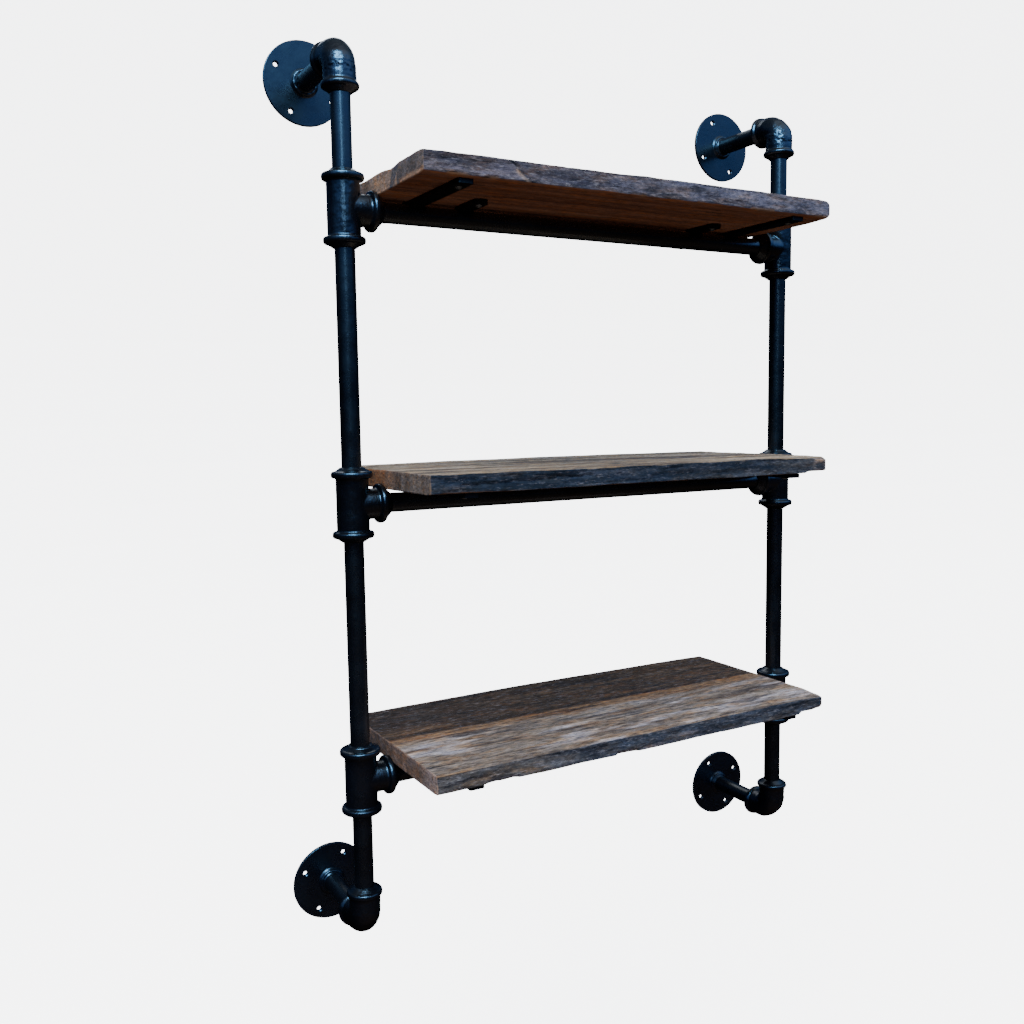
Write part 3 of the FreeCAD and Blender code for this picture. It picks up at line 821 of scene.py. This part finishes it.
def top_end(place, height, seed, part):
    """Tan behind, grey in front, with a dark wedge between and a pale sliver below."""
    y = place[:, 1]
    tan = shades(place, (1, 60, 60), seed + 45, [(0.27, 0.18, 0.13), (0.41, 0.29, 0.21)])
    grey = shades(place, (1, 60, 60), seed + 46, [(0.10, 0.085, 0.08), (0.20, 0.16, 0.14)])
    front = smooth(-y, 0.222, 0.226)[:, None]
    base = tan * (1 - front) + grey * front
    wedge_rear = -0.200 - 0.012 * height
    wedge_front = -0.212 - 0.020 * height
    wedge = ((y < wedge_rear) & (y > wedge_front))[:, None]
    base = over(base, (0.10, 0.095, 0.10), wedge * 0.9)
    sliver = (smooth(-height, -0.32, -0.12) * smooth(-y, 0.23, 0.24))[:, None]
    return over(base, (0.40, 0.23, 0.13), sliver * 0.8)


def top_top(place, height, seed, part):
    """Grey-brown upper face, which the photo doesn't show."""
    browns = [(0.10, 0.085, 0.08), (0.20, 0.165, 0.14), (0.28, 0.24, 0.21)]
    base = shades(place, (3, 40, 1), seed + 47, browns)
    return over(base, (0.025, 0.02, 0.02), streaks(place, (6, 120, 1), seed + 48, 0.2, 0.5) * 0.8)


def middle_top(place, height, seed, part):
    """Tan face with dark streaks, grey patches and knots."""
    tans = [(0.14, 0.108, 0.074), (0.285, 0.228, 0.156), (0.42, 0.345, 0.252)]
    base = shades(place, (4, 45, 1), seed + 50, tans)
    base = over(base, (0.05, 0.035, 0.03), streaks(place, (7, 100, 1), seed + 51, 0.15, 0.45) * 0.85)
    base = over(base, (0.18, 0.165, 0.15), streaks(place, (5, 60, 1), seed + 52, 0.25, 0.55) * 0.5)
    knots = spots(place, [(-0.21, -0.20), (-0.02, -0.24), (0.12, -0.12), (0.24, -0.22)], 0.014, 0.007)
    return over(base, (0.02, 0.014, 0.012), knots)


def middle_front(place, height, seed, part):
    """Nearly black blue edge, greyer to the right, with a bare patch at the end."""
    blues = [(0.006, 0.009, 0.016), (0.018, 0.026, 0.042), (0.055, 0.065, 0.09)]
    base = shades(place, (20, 1, 140), seed + 53, blues)
    base = over(base, (0.20, 0.20, 0.22), streaks(place, (14, 1, 170), seed + 54, 0.45, 0.62) * 0.6)
    grey = smooth(place[:, 0], 0.02, 0.16)[:, None] * streaks(place, (10, 1, 60), seed + 55, -0.1, 0.3)
    base = over(base, (0.075, 0.080, 0.090), grey * 0.6)
    bare = smooth(place[:, 0], 0.308, 0.318)[:, None]
    return over(base, (0.42, 0.36, 0.33), bare * streaks(place, (40, 1, 110), seed + 59, -0.4, 0.1) * 0.8)


def middle_end(place, height, seed, part):
    """Brown end grain, orange towards the wall."""
    browns = [(0.085, 0.065, 0.05), (0.155, 0.12, 0.095), (0.22, 0.175, 0.14)]
    base = shades(place, (1, 110, 30), seed + 56, browns)
    return over(base, (0.34, 0.15, 0.055), smooth(place[:, 1], -0.22, -0.12)[:, None] * 0.7)


def plain_under(place, height, seed, part):
    """Brown under face of the two lower shelves."""
    base = shades(place, (3, 50, 1), seed + 57, [(0.08, 0.045, 0.03), (0.16, 0.09, 0.055)])
    return over(base, DARK_GRAIN, streaks(place, (5, 110, 1), seed + 58, 0.15, 0.45))


def bottom_rear_top(place, seed):
    """Dark brown rear board, in shadow at the left."""
    browns = [(0.042, 0.024, 0.010), (0.082, 0.048, 0.023), (0.135, 0.084, 0.044)]
    base = shades(place, (3.5, 50, 1), seed + 60, browns)
    shadow = (smooth(-place[:, 0], 0.05, 0.30) * 0.7)[:, None]
    return over(base, (0.030, 0.022, 0.017), shadow * streaks(place, (4, 40, 1), seed + 61, -0.4, 0.2))


def bottom_front_top(place, seed):
    """Grey-brown front board with pale patches, orange beside the seam."""
    y = place[:, 1]
    browns = [(0.115, 0.085, 0.061), (0.218, 0.175, 0.136), (0.33, 0.278, 0.232)]
    base = shades(place, (4, 40, 1), seed + 62, browns)
    pale = streaks(place, (11, 50, 1), seed + 63, 0.1, 0.4)
    base = over(base, (0.46, 0.42, 0.43), pale * smooth(-y, 0.16, 0.20)[:, None] * 0.75)
    orange = (1 - smooth(-y, 0.155, 0.18))[:, None]
    return over(base, (0.22, 0.12, 0.048), orange * 0.85)


def bottom_top(place, height, seed, part):
    """Upper faces of the bottom shelf, with dark grain, nail marks and the seam."""
    y = place[:, 1]
    base = bottom_rear_top(place, seed) if part == "rear" else bottom_front_top(place, seed)
    dark = streaks(place, (9, 120, 1), seed + 64, 0.13, 0.42)
    base = over(base, (0.03, 0.02, 0.016), dark * 0.7)
    nails = [(-0.28, -0.06), (-0.275, -0.19), (0.27, -0.20), (0.10, -0.25), (-0.05, -0.07)]
    base = over(base, (0.01, 0.009, 0.01), spots(place, nails, 0.0028, 0.0022))
    if part == "front":
        seam = (smooth(-y, 0.1415, 0.1425) * (1 - smooth(-y, 0.144, 0.147)))[:, None]
        base = over(base, DARK_GRAIN, seam * 0.7)
    return base


def bottom_front(place, height, seed, part):
    """Grey edge, olive at the left and bluer from the middle on."""
    greys = [(0.03, 0.03, 0.032), (0.075, 0.072, 0.070), (0.16, 0.15, 0.14)]
    base = shades(place, (18, 1, 130), seed + 65, greys)
    cold = smooth(place[:, 0], -0.24, -0.06)[:, None]
    base = base * (1 - cold) + base * np.array((0.60, 0.75, 1.05)) * cold
    base = over(base, (0.24, 0.22, 0.23), streaks(place, (14, 1, 150), seed + 66, 0.35, 0.6) * 0.6)
    return over(base, (0.012, 0.011, 0.014), streaks(place, (20, 1, 200), seed + 67, 0.15, 0.4) * 0.7)


def bottom_end(place, height, seed, part):
    """Red-brown end, pinker towards the front."""
    base = shades(place, (1, 90, 60), seed + 68, [(0.14, 0.095, 0.07), (0.24, 0.165, 0.13)])
    pink = smooth(-place[:, 1], 0.24, 0.30)[:, None]
    return over(base, (0.33, 0.24, 0.20), pink * 0.8)


# bite_rate is in cells per metre. bite_depth, chip_height, proud, lift, front_step,
# edge_wave, end_round, taper and taper_up are in millimetres. A crack (x0, x1, z0, z1) is
# in metres, and an end dip has its place and width in metres and its depth in
# millimetres. The other numbers are factors.
LOOKS = {
    "top": dict(
        material=reclaimed_wood("wood_top"), top=top_top, under=top_under, front=top_front, end=top_end,
        bite_rate=24, bite_depth=5.0, chip_colour=(0.20, 0.13, 0.09), chip_height=6,
        top_wave=1.3, proud=2.6, lift=0, front_rough=1.1, front_step=1.0, edge_wave=2.0, crack=TOP_SPLIT,
        end_dips=[(-0.205, 0.020, 3.0), (-0.12, 0.03, 1.0)], end_round=8, taper=30, taper_up=0,
        top_flecks=0.6, front_flecks=0.8,
    ),
    "middle": dict(
        material=reclaimed_wood("wood_middle"), top=middle_top, under=plain_under, front=middle_front,
        end=middle_end, bite_rate=14, bite_depth=3.0, chip_colour=(0.06, 0.05, 0.05), chip_height=6,
        top_wave=1.2, proud=0.6, lift=1.5, front_rough=1.3, front_step=1.4, edge_wave=1.6,
        crack=(-0.30, -0.10, 0.010, 0.016), end_dips=[(-0.06, 0.03, 2.0)], end_round=5, taper=48,
        taper_up=2.5, top_flecks=0.25, front_flecks=0.35,
    ),
    "bottom": dict(
        material=reclaimed_wood("wood_bottom"), top=bottom_top, under=plain_under, front=bottom_front,
        end=bottom_end, bite_rate=20, bite_depth=8.0, chip_colour=(0.07, 0.06, 0.06), chip_height=9,
        top_wave=0.9, proud=1.0, lift=2.4, front_rough=1.2, front_step=1.2, edge_wave=2.6, crack=None,
        end_dips=[], end_round=8, taper=55, taper_up=4, top_flecks=0.45, front_flecks=0.55,
    ),
}
for number, level in enumerate(LEVELS):
    for offset, part in enumerate(("rear", "front")):
        make_board(level, part, 500 + 50 * number + 7 * offset, LOOKS[level])


# ---------------------------------------------------------------- floor and sky


WHITE = 5.0
FLOOR_Z = -1.15
FLOOR_FRONT = -6.0
FLOOR_REAR = 3.0
FLOOR_HALF_WIDTH = 14.0
CURVE_R = 2.0
CURVE_STEPS = 12
WALL_TOP = 9.0
SKY_STRENGTH = 1.5
MIRRORED_BEHIND = 0.10
MIRRORED_FRONT_Y, MIRRORED_REAR_Y = -0.75, 0.35


def make_floor():
    """Pale sheet under the shelf that curves up far behind it."""
    profile = [(FLOOR_FRONT, 0.0), (FLOOR_REAR, 0.0)]
    for step in range(1, CURVE_STEPS + 1):
        turn = math.pi / 2 * step / CURVE_STEPS
        profile.append((FLOOR_REAR + CURVE_R * math.sin(turn), CURVE_R - CURVE_R * math.cos(turn)))
    profile.append((FLOOR_REAR + CURVE_R, WALL_TOP))
    points = []
    for y, z in profile:
        points += [(-FLOOR_HALF_WIDTH, y, z + FLOOR_Z), (FLOOR_HALF_WIDTH, y, z + FLOOR_Z)]
    faces = [(2 * i, 2 * i + 1, 2 * i + 3, 2 * i + 2) for i in range(len(profile) - 1)]
    mesh = mesh_from("floor", points, faces)
    paper = Shader("floor_paper")
    tone = paper.ramp(paper.noise(3, 3, 0.5), [(0.3, 0.93), (0.7, 0.95)])
    paper.link(tone, paper.bsdf.inputs["Base Color"])
    paper.bsdf.inputs["Roughness"].default_value = 0.9
    paper.bsdf.inputs["Specular IOR Level"].default_value = 0.1
    paper.bsdf.inputs["Emission Color"].default_value = (1, 1, 1, 1)
    paper.bsdf.inputs["Emission Strength"].default_value = WHITE
    mesh.materials.append(paper.material)
    floor = link_object("floor", mesh)
    floor.visible_glossy = False
    floor.visible_diffuse = False


# Colours from straight down (0) past the horizon (0.5) to straight up (1).
SOFT_SKY = [
    (0.00, (0.020, 0.014, 0.010)),
    (0.45, (0.005, 0.005, 0.007)),
    (0.555, (0.008, 0.014, 0.028)),
    (0.60, (0.08, 0.18, 0.40)),
    (0.66, (0.22, 0.44, 0.85)),
    (0.80, (0.55, 0.66, 0.82)),
    (1.00, (1.05, 0.96, 0.84)),
]
MIRRORED_SKY = [
    (0.00, (0.090, 0.060, 0.040)),
    (0.40, (0.016, 0.011, 0.009)),
    (0.52, (0.004, 0.005, 0.008)),
    (0.575, (0.014, 0.05, 0.16)),
    (0.61, (0.09, 0.29, 0.90)),
    (0.68, (0.22, 0.66, 1.85)),
    (0.82, (0.50, 1.00, 1.90)),
    (1.00, (1.00, 1.20, 1.40)),
]


def make_sky():
    """Soft sky light, a bluer sky in front for the paint to mirror, and white for the camera."""
    world = bpy.data.worlds.new("studio")
    bpy.context.scene.world = world
    world.use_nodes = True
    nodes, links = world.node_tree.nodes, world.node_tree.links
    coords = nodes.new("ShaderNodeTexCoord")
    direction = nodes.new("ShaderNodeSeparateXYZ")
    links.new(coords.outputs["Generated"], direction.inputs["Vector"])

    def sky(stops):
        height = nodes.new("ShaderNodeMath")
        height.operation = "MULTIPLY_ADD"
        height.inputs[1].default_value = 0.5
        height.inputs[2].default_value = 0.5
        links.new(direction.outputs["Z"], height.inputs[0])
        ramp = nodes.new("ShaderNodeValToRGB")
        fill_ramp(ramp, stops)
        links.new(height.outputs[0], ramp.inputs["Fac"])
        background = nodes.new("ShaderNodeBackground")
        background.inputs["Strength"].default_value = SKY_STRENGTH
        links.new(ramp.outputs["Color"], background.inputs["Color"])
        return background

    def choose(ray, usual, special):
        path = nodes.new("ShaderNodeLightPath")
        mixed = nodes.new("ShaderNodeMixShader")
        links.new(path.outputs[ray], mixed.inputs[0])
        links.new(usual.outputs[0], mixed.inputs[1])
        links.new(special.outputs[0], mixed.inputs[2])
        return mixed

    soft, mirrored = sky(SOFT_SKY), sky(MIRRORED_SKY)
    fade = nodes.new("ShaderNodeMapRange")
    fade.interpolation_type = "SMOOTHSTEP"
    fade.inputs["From Min"].default_value = MIRRORED_FRONT_Y
    fade.inputs["From Max"].default_value = MIRRORED_REAR_Y
    fade.inputs["To Min"].default_value = SKY_STRENGTH
    fade.inputs["To Max"].default_value = MIRRORED_BEHIND
    links.new(direction.outputs["Y"], fade.inputs["Value"])
    links.new(fade.outputs["Result"], mirrored.inputs["Strength"])
    white = nodes["Background"]
    white.inputs["Color"].default_value = (1, 1, 1, 1)
    white.inputs["Strength"].default_value = WHITE
    result = choose("Is Camera Ray", choose("Is Glossy Ray", soft, mirrored), white)
    links.new(result.outputs[0], nodes["World Output"].inputs["Surface"])


# ---------------------------------------------------------------- lamps and camera


SHELF_MIDDLE = (0, -0.15, 0)
CAMERA_PLACE = (-0.85314, -1.41012, 0.11972)
YAW, PITCH, ROLL = 0.5150, 0.0995, -0.0149


def add_light(name, place, target, size, power, colour, glossy=True, diffuse=True):
    """Rectangular lamp; one that isn't glossy lights without showing in the paint."""
    data = bpy.data.lights.new(name, "AREA")
    data.shape = "RECTANGLE"
    data.size, data.size_y = size
    data.energy = power
    data.color = colour
    lamp = link_object(name, data)
    aim = (Vector(target) - Vector(place)).to_track_quat("-Z", "Y")
    lamp.matrix_world = Matrix.Translation(place) @ aim.to_matrix().to_4x4()
    lamp.visible_glossy = glossy
    lamp.visible_diffuse = diffuse


def make_camera():
    """The photo's viewing angle: from the left, a little above the middle shelf."""
    right = Vector((math.cos(YAW), -math.sin(YAW), 0))
    ahead = Vector((math.sin(YAW), math.cos(YAW), 0))
    up = Vector((0, 0, 1))
    forward = ahead * math.cos(PITCH) - up * math.sin(PITCH)
    lifted = up * math.cos(PITCH) + ahead * math.sin(PITCH)
    across = right * math.cos(ROLL) + lifted * math.sin(ROLL)
    upward = lifted * math.cos(ROLL) - right * math.sin(ROLL)
    data = bpy.data.cameras.new("camera")
    data.lens = 34.871
    data.sensor_width = 36.0
    data.clip_end = 60
    camera = link_object("camera", data)
    basis = Matrix((across, upward, -forward)).transposed()
    camera.matrix_world = Matrix.Translation(CAMERA_PLACE) @ basis.to_4x4()
    bpy.context.scene.camera = camera


make_floor()
make_sky()
add_light("key", (-1.6, -1.8, 3.4), SHELF_MIDDLE, (1.6, 1.6), 110, (1.0, 0.93, 0.83), glossy=False)
add_light("ground", (-0.6, -2.0, -1.0), (0, -0.15, 0.3), (2.6, 1.2), 24, (1.0, 0.88, 0.78), glossy=False)
add_light("sky_window", (-1.3, -2.3, 2.7), (0, -0.15, 0.5), (2.2, 1.4), 440, (0.20, 0.56, 1.0),
          diffuse=False)
add_light("strip", (-1.5, -3.1, 1.75), (-0.1, -0.15, 1.2), (0.5, 1.5), 28, (0.32, 0.64, 1.0),
          diffuse=False)
add_light("back", (0.6, 2.6, 2.3), SHELF_MIDDLE, (1.8, 1.2), 15, (0.85, 0.93, 1.0))
make_camera()
